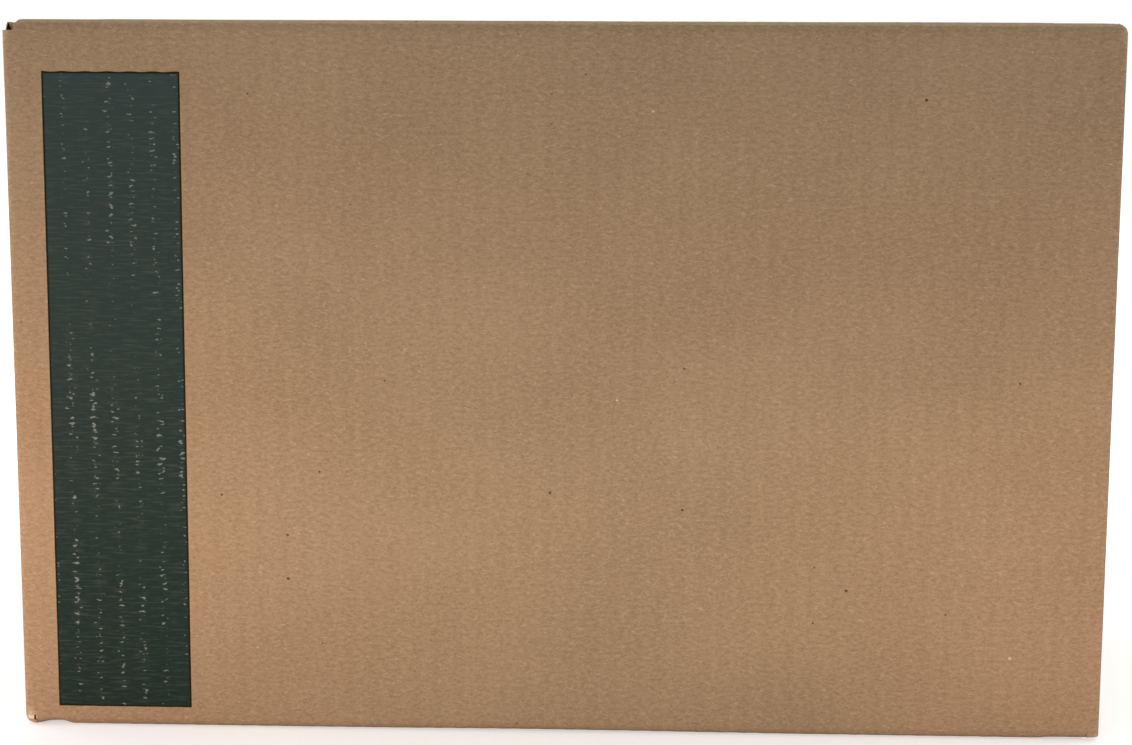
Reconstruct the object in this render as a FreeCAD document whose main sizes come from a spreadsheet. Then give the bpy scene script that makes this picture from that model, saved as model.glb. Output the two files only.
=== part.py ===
import FreeCAD, Part
import math
import os
import re
import Sketcher

# A small moving box: a regular slotted container folded from one sheet of corrugated board.
# Millimetres, +Z up, origin at the centre of the underside. X runs along the box's length,
# Y across its width, and the long front panel faces -Y.

doc = FreeCAD.newDocument("MovingBox")

# ---------------------------------------------------------------- driving dimensions

SIZES = {
    "inside_length": 406.4,     # clear inside, wall to wall: the standard small mover
    "inside_width": 254.0,
    "inside_height": 254.0,     # clear between the short flaps, bottom to top
    "board": 4.0,               # C-flute board; a fold turns on its inner liner, so it rounds by this
    "layer_gap": 0.3,           # air between a short flap and the long flap folded over it
    "flap_clearance": 0.75,     # a flap's side edge to the inside of the wall beside it
    "foot_clearance": 0.8,      # the lower ends of the corners, between the slots, to the underside
    "seam_gap": 2.0,            # between the free edges of two long flaps
    "tab_width": 35.0,          # glue tab of the maker's joint, from the outside of the corner
    "tab_taper": 14.0,          # how far the tab's ends slope down along it
    "tab_relief": 1.0,          # from a folded short flap to the near end of the tab
    "flute_pitch": 8.4,
    "flute_depth": 15.0,        # how far the open flutes run in from a cut edge
    "liner": 0.4,               # outer and inner facing sheet
    "medium": 0.4,              # wavy sheet between the liners
    "flute_tip": 0.9,           # radius of a flute's crest, on its hollow side
    "tape_width": 48.0,
    "tape_thickness": 0.15,
    "tape_wrap": 60.0,          # how far the tape runs up each end wall
}

sheet = doc.addObject("Spreadsheet::Sheet", "Dimensions")
for row, (alias, value) in enumerate(SIZES.items(), start=1):
    sheet.set(f"A{row}", alias)
    sheet.set(f"B{row}", str(value))
    sheet.setAlias(f"B{row}", alias)
doc.recompute()

# ---------------------------------------------------------------- derived places, as expressions

HALF_LENGTH = "(inside_length / 2 + board)"          # outside face of an end wall
HALF_WIDTH = "(inside_width / 2 + board)"            # outside face of the front or back wall
HEIGHT = "(inside_height + 4 * board + 2 * layer_gap)"
LONG_FLAP_HALF = "(inside_length / 2 - flap_clearance)"
SHORT_FLAP_HALF = "(inside_width / 2 - flap_clearance)"
FLAP_REACH = f"({HALF_WIDTH} - seam_gap / 2)"        # every flap: outside of its wall to its free edge
SHORT_FLAP_EDGE = f"({HALF_LENGTH} - {FLAP_REACH})"
SHORT_LOW = "(board + layer_gap)"                    # underside of the bottom short flaps
SHORT_HIGH = f"({HEIGHT} - board - layer_gap)"       # top of the top short flaps
TAB_FACE = f"({HALF_WIDTH} - board)"                 # where the back wall is glued to the tab
HINGE_INSET = "(board * (1 - cos(45 deg)))"          # outside faces to the middle of a rounded fold


def bound(text):
    """The expression with each size's name pointing at its cell."""
    return re.sub(r"\b(" + "|".join(SIZES) + r")\b", r"Dimensions.\1", text)


def value_of(text):
    result = sheet.evalExpression(bound(text))
    return float(getattr(result, "Value", result))


# ---------------------------------------------------------------- sketching

def origin_plane(body, role):
    return next(item for item in body.Origin.OriginFeatures if item.Role == role)


def new_sketch(body, name, plane, offset="0"):
    """A sketch on one of the body's origin planes, moved along the plane's normal by offset."""
    sketch = body.newObject("Sketcher::SketchObject", name)
    sketch.AttachmentSupport = [(origin_plane(body, plane), "")]
    sketch.MapMode = "FlatFace"
    sketch.setExpression("AttachmentOffset.Base.z", bound(offset))
    return sketch


def tangent_line(start, end):
    """The straight run from one stop to the next, touching the round of each stop that has one."""
    (x1, y1, r1), (x2, y2, r2) = start, end
    span = math.hypot(x2 - x1, y2 - y1)
    heading = math.atan2(y2 - y1, x2 - x1) - math.asin((r2 - r1) / span)
    left = FreeCAD.Vector(-math.sin(heading), math.cos(heading), 0)
    return FreeCAD.Vector(x1, y1, 0) - left * r1, FreeCAD.Vector(x2, y2, 0) - left * r2


def hold(sketch, kind, geometry, point, text):
    """Place a point of the sketch by an expression, measured from the sketch's origin."""
    number = sketch.addConstraint(
        Sketcher.Constraint(kind, -1, 1, geometry, point, value_of(text)))
    sketch.setExpression(f"Constraints[{number}]", bound(text))


def draw_outline(sketch, stops):
    """A closed outline. A stop is a sharp corner (x, y), or a round (x, y, radius, turn) given by
    its centre, with turn +1 where the outline bends left there and -1 where it bends right."""
    signed = [(value_of(s[0]), value_of(s[1]), s[3] * value_of(s[2]) if len(s) > 2 else 0.0)
              for s in stops]
    count = len(stops)
    runs = [tangent_line(signed[i], signed[(i + 1) % count]) for i in range(count)]
    lines = [sketch.addGeometry(Part.LineSegment(*run), False) for run in runs]
    for i, stop in enumerate(stops):
        arriving, leaving = lines[i - 1], lines[i]
        if len(stop) == 2:
            sketch.addConstraint(Sketcher.Constraint("Coincident", arriving, 2, leaving, 1))
            hold(sketch, "DistanceX", leaving, 1, stop[0])
            hold(sketch, "DistanceY", leaving, 1, stop[1])
            continue
        centre = FreeCAD.Vector(signed[i][0], signed[i][1], 0)
        ends = [runs[i - 1][1], runs[i][0]][::stop[3]]
        angles = [math.atan2(end.y - centre.y, end.x - centre.x) for end in ends]
        circle = Part.Circle(centre, FreeCAD.Vector(0, 0, 1), abs(signed[i][2]))
        arc = sketch.addGeometry(Part.ArcOfCircle(circle, *angles), False)
        enter, leave = (1, 2)[::stop[3]]
        sketch.addConstraint(Sketcher.Constraint("Tangent", arriving, 2, arc, enter))
        sketch.addConstraint(Sketcher.Constraint("Tangent", arc, leave, leaving, 1))
        hold(sketch, "DistanceX", arc, 3, stop[0])
        hold(sketch, "DistanceY", arc, 3, stop[1])
        radius = sketch.addConstraint(Sketcher.Constraint("Radius", arc, abs(signed[i][2])))
        sketch.setExpression(f"Constraints[{radius}]", bound(stop[2]))


def draw_box(sketch, low_x, high_x, low_y, high_y):
    draw_outline(sketch, [(low_x, low_y), (high_x, low_y), (high_x, high_y), (low_x, high_y)])


# ---------------------------------------------------------------- features

def extrude(body, kind, name, sketch, length, side="Symmetric", reverse=False):
    """A Pad or Pocket of the sketch, checked to have added or removed material."""
    before = body.Shape.Volume if body.Tip else 0.0
    feature = body.newObject(f"PartDesign::{kind}", name)
    feature.Profile = sketch
    feature.SideType = side
    feature.Reversed = reverse
    feature.setExpression("Length", bound(length))
    doc.recompute()
    change = body.Shape.Volume - before
    if (change > 0) != (kind == "Pad") or abs(change) < 1e-3:
        raise RuntimeError(f"{name} changed the volume by {change:.3f}")
    return feature


def mirror(body, name, features, plane):
    mirrored = body.newObject("PartDesign::Mirrored", name)
    mirrored.Originals = features
    mirrored.MirrorPlane = (origin_plane(body, plane), [""])
    body.Tip = mirrored
    doc.recompute()
    return mirrored


# ---------------------------------------------------------------- flutes

def draw_flute_pair(sketch, low, half_width):
    """Two hollows at the start of a cut edge, one each side of the wavy sheet between the liners.
    low is the board's lower face and half_width half the edge's length."""
    start = f"(-{half_width} + flute_pitch)"
    mouth = "(flute_pitch / 2 - flute_tip - medium / 2)"
    floor = f"({low} + liner)"
    ceiling = f"({low} + board - liner)"
    draw_outline(sketch, [
        (f"{start} - {mouth}", ceiling),
        (start, f"{floor} + medium + flute_tip", "flute_tip", 1),
        (f"{start} + {mouth}", ceiling),
    ])
    crest = f"({start} + flute_pitch / 2)"
    draw_outline(sketch, [
        (f"{crest} - {mouth}", floor),
        (f"{crest} + {mouth}", floor),
        (crest, f"{ceiling} - medium - flute_tip", "flute_tip", 1),
    ])


def repeat_flutes(body, pair, sketch, edge_length):
    """The pair of hollows repeated along the edge at the flute pitch."""
    row = body.newObject("PartDesign::LinearPattern", "FluteRow")
    row.Originals = [pair]
    row.Direction = (sketch, ["H_Axis"])
    row.Mode = "Spacing"
    row.setExpression("Offset", bound("flute_pitch"))
    row.setExpression("Occurrences", bound(f"floor({edge_length} / flute_pitch) - 1"))
    body.Tip = row
    doc.recompute()


# ---------------------------------------------------------------- carton

def add_end(body, name, way, lost):
    """An end wall and its two short flaps, folded in under the long flaps. way is the end's side
    along X, and lost is how much narrower the flaps are at the back than the wall."""
    outside, inside, edge = (f"{way} * {place}" for place in
                             (HALF_LENGTH, "(inside_length / 2)", SHORT_FLAP_EDGE))
    turn = int(way)
    width = f"(2 * {SHORT_FLAP_HALF} - {lost})"
    low_fold = f"({SHORT_LOW} + board)"
    high_fold = f"({SHORT_HIGH} - board)"

    # Between the corners, the wall stops where its short flaps begin to fold over.
    fold_lines = new_sketch(body, f"{name}FoldLines", "XZ_Plane", f"{lost} / 2")
    draw_box(fold_lines, inside, outside, "foot_clearance", low_fold)
    draw_box(fold_lines, inside, outside, high_fold, f"{HEIGHT} - board")
    extrude(body, "Pocket", f"{name}FoldCuts", fold_lines, f"(inside_width - {lost})")

    section = new_sketch(body, f"{name}Section", "XZ_Plane", f"{lost} / 2")
    draw_outline(section, [
        (edge, SHORT_LOW),
        (inside, low_fold, "board", turn),
        (inside, high_fold, "board", turn),
        (edge, SHORT_HIGH),
        (edge, high_fold),
        (inside, high_fold),
        (inside, low_fold),
        (edge, low_fold),
    ])
    extrude(body, "Pad", f"{name}WallAndFlaps", section, width)


def build_carton():
    """The folded sheet without its long top flaps: walls, glue tab, bottom flaps, short top flaps."""
    body = doc.addObject("PartDesign::Body", "carton")
    body.setExpression("Placement.Base.z", bound("tape_thickness"))

    # Four walls in one run round the box. The run starts at the back wall's raw edge, which lies
    # on the glue tab, and ends at the tab, folded in from the end wall and glued behind it.
    walls = new_sketch(body, "WallRun", "XY_Plane", "foot_clearance")
    draw_outline(walls, [
        ("-inside_length / 2", "-inside_width / 2", "board", 1),
        ("inside_length / 2", "-inside_width / 2", "board", 1),
        ("inside_length / 2", "inside_width / 2 - board", "board", 1),
        (LONG_FLAP_HALF, TAB_FACE),
        (LONG_FLAP_HALF, HALF_WIDTH),
        ("-inside_length / 2", "inside_width / 2", "board", 1),
    ])
    draw_outline(walls, [
        ("-inside_length / 2", "-inside_width / 2"),
        ("inside_length / 2", "-inside_width / 2"),
        ("inside_length / 2", f"{TAB_FACE} - board"),
        (f"{HALF_LENGTH} - tab_width", f"{TAB_FACE} - board"),
        (f"{HALF_LENGTH} - tab_width", TAB_FACE),
        ("-inside_length / 2", TAB_FACE),
    ])
    extrude(body, "Pad", "Walls", walls, f"{HEIGHT} - board - foot_clearance", side="One side")

    # The tab's two ends stop short of the folded short flaps and slope away along the tab.
    tab_ends = new_sketch(body, "TabEnds", "XZ_Plane", f"board / 2 - {TAB_FACE}")
    near_low = f"({SHORT_LOW} + board + tab_relief)"
    near_high = f"({SHORT_HIGH} - board - tab_relief)"
    draw_outline(tab_ends, [
        (f"{HALF_LENGTH} - tab_width", "foot_clearance"),
        ("inside_length / 2", "foot_clearance"),
        ("inside_length / 2", near_low),
        (f"{HALF_LENGTH} - tab_width", f"{near_low} + tab_taper"),
    ])
    draw_outline(tab_ends, [
        (f"{HALF_LENGTH} - tab_width", f"{near_high} - tab_taper"),
        ("inside_length / 2", near_high),
        ("inside_length / 2", f"{HEIGHT} - board"),
        (f"{HALF_LENGTH} - tab_width", f"{HEIGHT} - board"),
    ])
    extrude(body, "Pocket", "TabEndCuts", tab_ends, "board")

    # The end with the glue tab has flaps a board narrower: their back edges clear the tab's fold.
    add_end(body, "PlainEnd", "-1", "0")
    add_end(body, "TabEnd", "1", "board")

    # Between the corners, a long wall stops where its bottom flap begins to fold under.
    long_fold_line = new_sketch(body, "LongFoldLine", "YZ_Plane")
    draw_box(long_fold_line, "inside_width / 2", HALF_WIDTH, "foot_clearance", "board")
    long_fold_cut = extrude(body, "Pocket", "LongFoldCut", long_fold_line, "inside_length")

    # Back wall's bottom long flap, and at its top the bevelled half of the fold that the long top
    # flap turns on: outside it eases in to the fold's middle, inside it is mitred.
    long_section = new_sketch(body, "LongWallSection", "YZ_Plane")
    draw_outline(long_section, [
        ("seam_gap / 2", "0"),
        ("inside_width / 2", "board", "board", 1),
        (HALF_WIDTH, "2 * board"),
        ("inside_width / 2", "2 * board"),
        ("inside_width / 2", "board"),
        ("seam_gap / 2", "board"),
    ])
    draw_outline(long_section, [
        ("inside_width / 2", f"{HEIGHT} - 2 * board"),
        (HALF_WIDTH, f"{HEIGHT} - 2 * board"),
        (HALF_WIDTH, f"{HEIGHT} - board"),
        (f"{HALF_WIDTH} - {HINGE_INSET}", f"{HEIGHT} - {HINGE_INSET}"),
        ("inside_width / 2", f"{HEIGHT} - board"),
    ])
    long_folds = extrude(body, "Pad", "LongWallFolds", long_section, f"2 * {LONG_FLAP_HALF}")
    mirror(body, "OtherLongWall", [long_fold_cut, long_folds], "XZ_Plane")

    # Flutes open in the free edges of the two short top flaps, which face each other.
    flutes = new_sketch(body, "FlutePair", "YZ_Plane")
    draw_flute_pair(flutes, f"({SHORT_HIGH} - board)", SHORT_FLAP_HALF)
    pair = extrude(body, "Pocket", "FlutePairCut", flutes, f"2 * ({SHORT_FLAP_EDGE} + flute_depth)")
    repeat_flutes(body, pair, flutes, f"(2 * {SHORT_FLAP_HALF} - board)")
    return body


# ---------------------------------------------------------------- long top flaps

def build_long_flap(name, side):
    """A long top flap, drawn from its hinge line: +Y towards the free edge, +Z outwards.
    side is -1 at the front wall and +1 at the back wall."""
    body = doc.addObject("PartDesign::Body", name)
    hinge_y = f"({HALF_WIDTH} - {HINGE_INSET})"
    body.setExpression("Placement.Base.y", bound(f"{side} * {hinge_y}"))
    body.setExpression("Placement.Base.z", bound(f"tape_thickness + {HEIGHT} - {HINGE_INSET}"))
    body.Placement.Rotation = FreeCAD.Rotation(FreeCAD.Vector(0, 0, 1), 90 * (1 + side))

    edge = f"({hinge_y} - seam_gap / 2)"
    inner = f"({HINGE_INSET} - board)"
    section = new_sketch(body, "FlapSection", "YZ_Plane")
    draw_outline(section, [
        ("0", "0"),
        (f"-{inner}", inner),
        (edge, inner),
        (edge, HINGE_INSET),
        (f"-{inner}", HINGE_INSET),
    ])
    extrude(body, "Pad", "Flap", section, f"2 * {LONG_FLAP_HALF}")

    flutes = new_sketch(body, "FlutePair", "XZ_Plane", f"-{edge}")
    draw_flute_pair(flutes, inner, LONG_FLAP_HALF)
    pair = extrude(body, "Pocket", "FlutePairCut", flutes, "flute_depth", side="One side", reverse=True)
    repeat_flutes(body, pair, flutes, f"(2 * {LONG_FLAP_HALF})")
    return body


# ---------------------------------------------------------------- tape

def build_bottom_tape():
    """Packing tape along the bottom seam. It is pulled tight from the long flaps' ends over the
    folds of the short flaps and runs a little way up both end walls."""
    body = doc.addObject("PartDesign::Body", "bottom_tape")
    body.setExpression("Placement.Base.z", bound("tape_thickness"))
    fold_z = f"({SHORT_LOW} + board)"
    outer_x = f"({HALF_LENGTH} + tape_thickness)"
    run = new_sketch(body, "TapeRun", "XZ_Plane")
    draw_outline(run, [
        (f"-{outer_x}", "tape_wrap"),
        ("-inside_length / 2", fold_z, "board + tape_thickness", 1),
        (f"-{LONG_FLAP_HALF}", "0", "tape_thickness", 1),
        (LONG_FLAP_HALF, "0", "tape_thickness", 1),
        ("inside_length / 2", fold_z, "board + tape_thickness", 1),
        (outer_x, "tape_wrap"),
        (HALF_LENGTH, "tape_wrap"),
        ("inside_length / 2", fold_z, "board", -1),
        (LONG_FLAP_HALF, "0"),
        (f"-{LONG_FLAP_HALF}", "0"),
        ("-inside_length / 2", fold_z, "board", -1),
        (f"-{HALF_LENGTH}", "tape_wrap"),
    ])
    extrude(body, "Pad", "Tape", run, "tape_width")
    return body


# ---------------------------------------------------------------- build, check and write

bodies = [
    build_carton(),
    build_long_flap("top_flap_front", -1),
    build_long_flap("top_flap_back", 1),
    build_bottom_tape(),
]
doc.recompute()

for item in doc.Objects:
    if {"Invalid", "Error"} & set(item.State):
        raise RuntimeError(f"{item.Name} did not build: {item.State}")
for body in bodies:
    if body.Shape.isNull() or not body.Shape.isValid() or len(body.Shape.Solids) != 1:
        raise RuntimeError(f"{body.Label} is not one valid solid")

os.makedirs("parts", exist_ok=True)
for body in bodies:
    body.Shape.exportStep(f"parts/{body.Label}.step")
    box = body.Shape.BoundBox
    print(f"{body.Label}: {body.Shape.Volume / 1000:.1f} cm3, {len(body.Shape.Faces)} faces, "
          f"X {box.XMin:.2f} to {box.XMax:.2f}, Y {box.YMin:.2f} to {box.YMax:.2f}, "
          f"Z {box.ZMin:.2f} to {box.ZMax:.2f}")
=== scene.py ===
import math

import bpy
import numpy as np
from mathutils import Matrix, Vector


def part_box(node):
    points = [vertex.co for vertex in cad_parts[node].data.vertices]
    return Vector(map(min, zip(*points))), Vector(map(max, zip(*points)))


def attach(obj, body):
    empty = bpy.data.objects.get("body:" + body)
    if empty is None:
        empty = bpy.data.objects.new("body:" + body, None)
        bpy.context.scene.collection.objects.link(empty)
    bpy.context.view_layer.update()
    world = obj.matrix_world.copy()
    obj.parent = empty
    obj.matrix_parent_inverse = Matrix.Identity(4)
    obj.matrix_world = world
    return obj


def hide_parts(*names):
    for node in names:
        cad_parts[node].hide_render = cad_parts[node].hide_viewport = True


# A small moving box: one sheet of corrugated board, slotted, folded and glued at one corner, with
# a strip of tape along its bottom. Metres, +Z up, the printed long panel facing -Y.

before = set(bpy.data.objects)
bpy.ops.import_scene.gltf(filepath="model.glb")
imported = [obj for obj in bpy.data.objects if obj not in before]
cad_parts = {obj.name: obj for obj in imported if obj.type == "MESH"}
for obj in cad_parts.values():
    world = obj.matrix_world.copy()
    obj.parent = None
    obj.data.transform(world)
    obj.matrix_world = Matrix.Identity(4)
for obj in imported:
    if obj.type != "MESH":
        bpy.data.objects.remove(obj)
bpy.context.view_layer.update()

# ------------------------------------------------------------------ carton, outer facing
# The carton is one sheet of C-flute board, its flutes running up the walls, which is cut and scored
# flat on a press, folded, and glued at one corner. The board is three papers glued together, and
# each is made apart here. This one is the brown kraft outside.

MM = 0.001
BOARD = 4 * MM
LINER = 0.4 * MM          # the facing on each side
PITCH = 8.4 * MM          # from one flute to the next
FIRST_FLUTE = 1.07 * MM   # where the first hollow lies along the sheet
LAYER_GAP = 0.3 * MM      # air between a short flap and the long one over it
TAB_WIDTH = 35 * MM
TAB_TAPER = 14 * MM
TAB_RELIEF = 1 * MM
FOOT = 0.8 * MM           # from the underside up to the corners' lower ends

carton_low, carton_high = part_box("carton")
flap_low, flap_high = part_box("top_flap_front")
half_length, half_width = carton_high.x, carton_high.y
underside, top = carton_low.z, flap_high.z
flap_half = flap_high.x                  # half the length of a long flap
hinge_in = half_width + flap_low.y       # from the outer face in to the top fold's middle
reach = half_width + flap_high.y         # from a wall's outer face to its flaps' free edges
flap_gap = half_length - BOARD - flap_half

long_fold_low = underside + BOARD        # where each fold begins to round
long_fold_high = top - BOARD
short_fold_low = underside + 2 * BOARD + LAYER_GAP
short_fold_high = top - 2 * BOARD - LAYER_GAP
corner_low, corner_high = underside + FOOT, top - BOARD
bend = BOARD * math.pi / 2               # a right-angled fold, measured round its outside
half_bend = 2 * BOARD * math.sin(math.pi / 8)
hinge_t = long_fold_high + half_bend
hinge_z = top - hinge_in
flap_run = bend + reach - BOARD          # a flap from where its fold begins to its free edge
top_flap_end = 2 * hinge_t - top + reach
COS_EIGHTH, SIN_EIGHTH = math.cos(math.pi / 8), math.sin(math.pi / 8)

# Every point of the board is known by its place on the flat sheet: s metres along it, across the
# flutes, t metres up it, along them, and u metres in from its outer face.


class Wall:
    """A straight run of the walls, seen from above, that ends in a rounded corner."""

    def __init__(self, start, at, heading, length):
        self.start, self.end = start, start + length
        self.at, self.heading = np.array(at), np.array(heading)
        self.out = np.array((-heading[1], heading[0]))


def walls_in_order():
    """From the glue tab, clockwise round the box to the back wall's raw edge."""
    x, y = half_length - BOARD, half_width - BOARD
    start = 0.0
    for name, at, heading, length in (
        ("tab", (half_length - TAB_WIDTH, y), (1, 0), TAB_WIDTH - BOARD),
        ("right", (half_length, y - BOARD), (0, -1), 2 * y - BOARD),
        ("front", (x, -half_width), (-1, 0), 2 * x),
        ("left", (-half_length, -y), (0, 1), 2 * y),
        ("back", (-x, half_width), (1, 0), x + flap_half),
    ):
        yield name, Wall(start, at, heading, length)
        start += length + bend


walls = dict(walls_in_order())
corners = {name: wall.end + bend / 2 for name, wall in walls.items() if name != "back"}


def near(x, place, width):
    return np.exp(-((x - place) / width) ** 2)


def ease(x, start, end):
    """0 up to start and 1 from end on, smoothly."""
    share = np.clip((x - start) / (end - start), 0, 1)
    return share * share * (3 - 2 * share)


def ripples(s, t, size, seed, waves=7):
    """A gentle unevenness, about -1 to 1, with its hollows about size apart."""
    random = np.random.RandomState(seed)
    total = np.zeros(len(s))
    for _ in range(waves):
        angle, phase = random.uniform(0, 2 * math.pi, 2)
        rate = 2 * math.pi / (size * random.uniform(0.7, 1.6))
        total += np.sin(rate * (s * math.cos(angle) + t * math.sin(angle)) + phase)
    return total / math.sqrt(waves)


def flute_phase(s):
    return 2 * math.pi * (s - FIRST_FLUTE) / PITCH


# The press scores each fold line, which crushes the flutes there, and the board is bent along it.
# A fold keeps its outer facing round and its inner facing nearly sharp. Only the long top flaps'
# folds are made in two halves that meet at the middle, on the line where the flap turns.

SCORE_DEPTH, SCORE_WIDTH = 0.18, 2.5 * MM    # how much of its thickness a score takes, and how near
END_SQUEEZE, END_WIDTH = 0.08, 2 * MM        # the same where a knife has cut across the flutes
BELLY = 0.6 * MM                             # how far a wall's middle stands out
PINCH = {"left": 4.2 * MM, "right": 1.6 * MM}   # how far a short top fold's facing is pinched up

fold_start = {
    "short_top": (short_fold_high, 1),
    "short_bottom": (short_fold_low, -1),
    "long_bottom": (long_fold_low, -1),
}


def kept_thickness(s, t, kind):
    kept = 1 - SCORE_DEPTH * sum(near(s, corner, SCORE_WIDTH) for corner in corners.values())
    if kind in fold_start:
        start, way = fold_start[kind]
        kept -= SCORE_DEPTH * near(t, start + way * bend / 2, SCORE_WIDTH)
        kept -= END_SQUEEZE * near(t, start + way * flap_run, END_WIDTH)
    if kind == "top_flap":
        kept -= END_SQUEEZE * near(t, top_flap_end, END_WIDTH)
    return kept


def belly(s, t):
    """How far the walls stand out from their true planes. The glue holds them flat at the tab."""
    up = np.clip((t - short_fold_low) / (short_fold_high - short_fold_low), 0, 1)
    loose = ease(s, walls["tab"].end, walls["tab"].end + 15 * MM)
    loose *= 1 - ease(s, walls["back"].end - 50 * MM, walls["back"].end - 32 * MM)
    out = 0.08 * MM * ripples(s, t, 75 * MM, 4) * ease(np.minimum(up, 1 - up), 0, 0.06) * loose
    for name in ("right", "front", "left", "back"):
        wall = walls[name]
        loose_end = wall.end - (32 * MM if name == "back" else 0)
        across = np.clip((s - wall.start) / (loose_end - wall.start), 0, 1)
        out += BELLY * np.sin(math.pi * across) * np.sin(math.pi * up)
    for corner in corners.values():
        out *= 1 - near(s, corner, 5 * MM)
    return out - 0.05 * MM * (1 - ease(s, walls["tab"].end - 4 * MM, walls["tab"].end))


def crushed_corner(s, t):
    """How far the lower ends of the corners are knocked in, the front left one most."""
    knock = sum(amount * near(s, corners[name], 3.5 * MM) for name, amount in
                (("front", 1.5 * MM), ("left", 0.5 * MM), ("tab", 0.3 * MM)))
    return knock * (1 - ease(t, corner_low, corner_low + 3 * MM)) ** 2


def round_the_walls(s, t, u):
    point, out = np.empty((len(s), 2)), np.empty((len(s), 2))
    for wall in walls.values():
        here = (s >= wall.start - 1e-9) & (s <= wall.end + bend + 1e-9)
        along = np.minimum(s[here], wall.end) - wall.start
        turn = np.maximum(s[here] - wall.end, 0) / BOARD
        out[here] = np.outer(np.cos(turn), wall.out) + np.outer(np.sin(turn), wall.heading)
        point[here] = wall.at + np.outer(along, wall.heading) - BOARD * wall.out + BOARD * out[here]
    over = np.maximum(t - corner_high, 0) / BOARD      # a tongue at one corner is bent over
    inward = BOARD - (BOARD - u) * np.cos(over) - belly(s, t) + crushed_corner(s, t)
    height = np.minimum(t, corner_high) + (BOARD - u) * np.sin(over)
    return np.column_stack((point - out * inward[:, None], height))


def lifted_fold(s, past):
    """The front bottom fold doesn't lie flat all along: it is knocked up beside both corners, and
    a little in the middle."""
    from_right = s - walls["front"].start + BOARD
    from_left = 2 * half_length - from_right
    lift = 1.1 * MM * np.exp(-((from_left - 12.3 * MM) / (5.0 * MM)) ** 4)
    lift += 0.4 * MM * (1 - ease(from_right, 18 * MM, 24 * MM))
    lift += 0.35 * MM * near(from_left, 205 * MM, 60 * MM)
    return lift * ease(past, 0, bend * 0.7) * (1 - ease(past, bend + 4 * MM, bend + 30 * MM))


def crushed_end(s, inward, height):
    """How far the front top fold's left end is pressed down."""
    end = walls["front"].end - flap_gap
    pressed = 1.1 * MM * (1 - ease(end - s, 0, 1.7 * MM))
    return pressed * ease(height, long_fold_high, top) * (1 - ease(inward, BOARD, 4 * BOARD))


def fold_over(s, t, u, kind, wall, ply):
    """A wall and the flap folded in from it, in section: how far in, and how high."""
    start, way = fold_start[kind]
    past = np.maximum(way * (t - start), 0)
    turn = np.minimum(past / BOARD, math.pi / 2)
    inward = BOARD - (BOARD - u) * np.cos(turn) + np.maximum(past - bend, 0)
    height = np.where(past > 0, start + way * (BOARD - u) * np.sin(turn), t)
    if kind == "short_top" and ply == "outer":
        height += PINCH[wall] * (0.97 + 0.05 * ripples(s, t * 0, 60 * MM, 3)) * np.sin(
            math.pi * np.clip((past - 1.6 * MM) / (bend - 2 * MM), 0, 1)) ** 2
    if kind == "long_bottom" and wall == "front":
        height += lifted_fold(s, past)
    return inward, height


def half_fold(t, u, ply):
    """A long wall up to the middle of its top fold, in section. The inner facing turns out along
    the mitre there, and the others follow the fold's rounded outside."""
    past = np.maximum(t - long_fold_high, 0)
    if ply == "inner":
        depth = np.where(past > 0, BOARD - u + 0.03 * MM, BOARD - u)
        slant = np.where(past > 0, math.sqrt(0.5), 1)
        drop = np.where(past > 0, math.sqrt(0.5), 0)
        inward = BOARD - past * math.sqrt(0.5) - depth * slant
        return inward, np.minimum(t, long_fold_high) + past * math.sqrt(0.5) - depth * drop
    share = past / half_bend
    down_mitre = u / COS_EIGHTH * math.sqrt(0.5)
    rounding = 0.055 * MM * 4 * share * (1 - share)
    inward = (1 - share) * u + share * (hinge_in + down_mitre) - rounding * COS_EIGHTH
    height = (1 - share) * np.minimum(t, long_fold_high) + share * (hinge_z - down_mitre)
    return inward, height + rounding * SIN_EIGHTH


def fold_up(s, t, u, zone, ply):
    """The place in the box of points on the flat sheet. zone is walls, or a fold and its wall."""
    kind, _, name = zone.partition(":")
    u = u * kept_thickness(s, t, kind)
    if kind == "walls":
        return round_the_walls(s, t, u)
    wall = walls[name]
    if kind in fold_start:
        inward, height = fold_over(s, t, u, kind, name, ply)
    elif kind == "half_fold":
        inward, height = half_fold(t, u, ply)
    else:
        # A long top flap is its wall mirrored in the mitre of the fold between them.
        wall_in, wall_high = half_fold(2 * hinge_t - t, u, ply)
        inward, height = hinge_in + hinge_z - wall_high, hinge_z + hinge_in - wall_in
        height += 0.08 * MM * ripples(s, t * 0, 150 * MM, 8) * ease(inward, BOARD, reach)
    if kind in ("half_fold", "top_flap") and name == "front":
        height = height - crushed_end(s, inward, height)
    face = wall.at + np.outer(s - wall.start, wall.heading)
    return np.column_stack((face - np.outer(inward, wall.out), height))


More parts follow.
